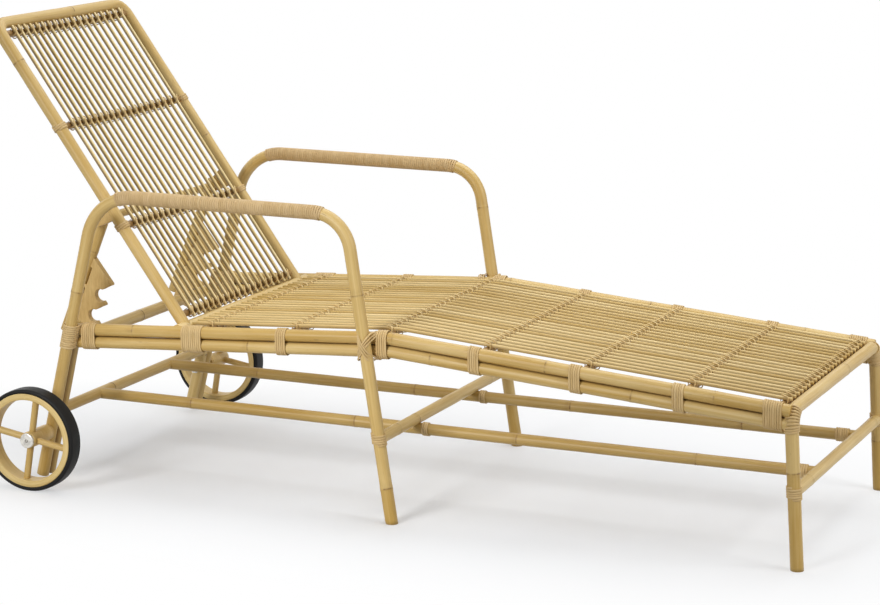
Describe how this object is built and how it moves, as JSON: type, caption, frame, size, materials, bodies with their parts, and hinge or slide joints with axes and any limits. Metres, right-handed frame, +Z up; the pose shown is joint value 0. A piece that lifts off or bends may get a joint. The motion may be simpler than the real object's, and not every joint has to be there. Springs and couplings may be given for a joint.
{
  "type": "sun lounger",
  "caption": "Rattan sun lounger with looped arms, a slatted seat bent at the knee, a reclining slatted back held by a toothed prop, and wheels at the head end.",
  "frame": {"origin": "on the floor under the middle of the overall length and width", "axes": "+X towards the foot end, +Y towards the sitter's left, +Z up"},
  "size_m": [1.8758, 0.9066, 1.0018],
  "materials": {
    "pole_rattan": "satin peeled rattan",
    "slat_rattan": "satin peeled rattan",
    "cane": "satin cane strand",
    "arm_cane": "satin cane winding",
    "prop_wood": "satin wood",
    "wheel_wood": "satin wood",
    "spacer_wood": "satin wood",
    "dowel_wood": "plain wood",
    "tyre": "matt rubber",
    "bush": "plain",
    "steel": "satin"
  },
  "bodies": {
    "frame": {"arm_wrap_left": "arm_cane", "arm_wrap_right": "arm_cane", "axle_left": "steel", "axle_nuts": "steel", "axle_right": "steel", "axle_washers": "spacer_wood", "foot_cross_stretcher": "pole_rattan", "foot_hoop": "pole_rattan", "joint_dowels": "dowel_wood", "leg_lashings": "cane", "long_stretcher_left": "pole_rattan", "long_stretcher_right": "pole_rattan", "lower_side_rail_left": "pole_rattan", "lower_side_rail_right": "pole_rattan", "mid_cross_stretcher": "pole_rattan", "rail_lashings_left": "cane", "rail_lashings_right": "cane", "rear_cross_rail": "pole_rattan", "rear_cross_stretcher": "pole_rattan", "rear_leg_inner_left": "pole_rattan", "rear_leg_inner_right": "pole_rattan", "seat_crossbars": "pole_rattan", "seat_lacing": "cane", "seat_slats": "slat_rattan", "side_hoop_left": "pole_rattan", "side_hoop_right": "pole_rattan", "stretcher_lashings": "cane", "upper_side_rail_left": "pole_rattan", "upper_side_rail_right": "pole_rattan"},
    "backrest": {"back_bottom_rail": "pole_rattan", "back_crossbars": "pole_rattan", "back_hoop": "pole_rattan", "back_lacing": "cane", "back_lashings": "cane", "back_slats": "slat_rattan", "hinge_pins": "steel", "prop_lugs": "prop_wood"},
    "prop": {"prop_bar": "prop_wood", "prop_board_left": "prop_wood", "prop_board_right": "prop_wood", "prop_pole_left": "prop_wood", "prop_pole_right": "prop_wood"},
    "wheel_left": {"tyre_left": "tyre", "wheel_bush_left": "bush", "wheel_hub_left": "wheel_wood", "wheel_rim_left": "wheel_wood", "wheel_spokes_left": "wheel_wood"},
    "wheel_right": {"tyre_right": "tyre", "wheel_bush_right": "bush", "wheel_hub_right": "wheel_wood", "wheel_rim_right": "wheel_wood", "wheel_spokes_right": "wheel_wood"}
  },
  "joints": [
    {"name": "backrest_recline", "type": "hinge", "parent": "frame", "child": "backrest", "pos_m": [-0.4625, 0, 0.35488], "axis": [0, -1, 0], "range_deg": [0, 54]},
    {"name": "prop_swing", "type": "hinge", "parent": "backrest", "child": "prop", "pos_m": [-0.67609, 0, 0.57413], "axis": [0, -1, 0], "range_deg": [-125, 0]},
    {"name": "wheel_right_spin", "type": "hinge", "parent": "frame", "child": "wheel_right", "pos_m": [-0.7585, -0.432, 0.113], "axis": [0, 1, 0], "continuous": true},
    {"name": "wheel_left_spin", "type": "hinge", "parent": "frame", "child": "wheel_left", "pos_m": [-0.7585, 0.432, 0.113], "axis": [0, 1, 0], "continuous": true}
  ],
  "couplings": [
    {"joint": "prop_swing", "follows": "backrest_recline", "ratio": -2.3}
  ]
}
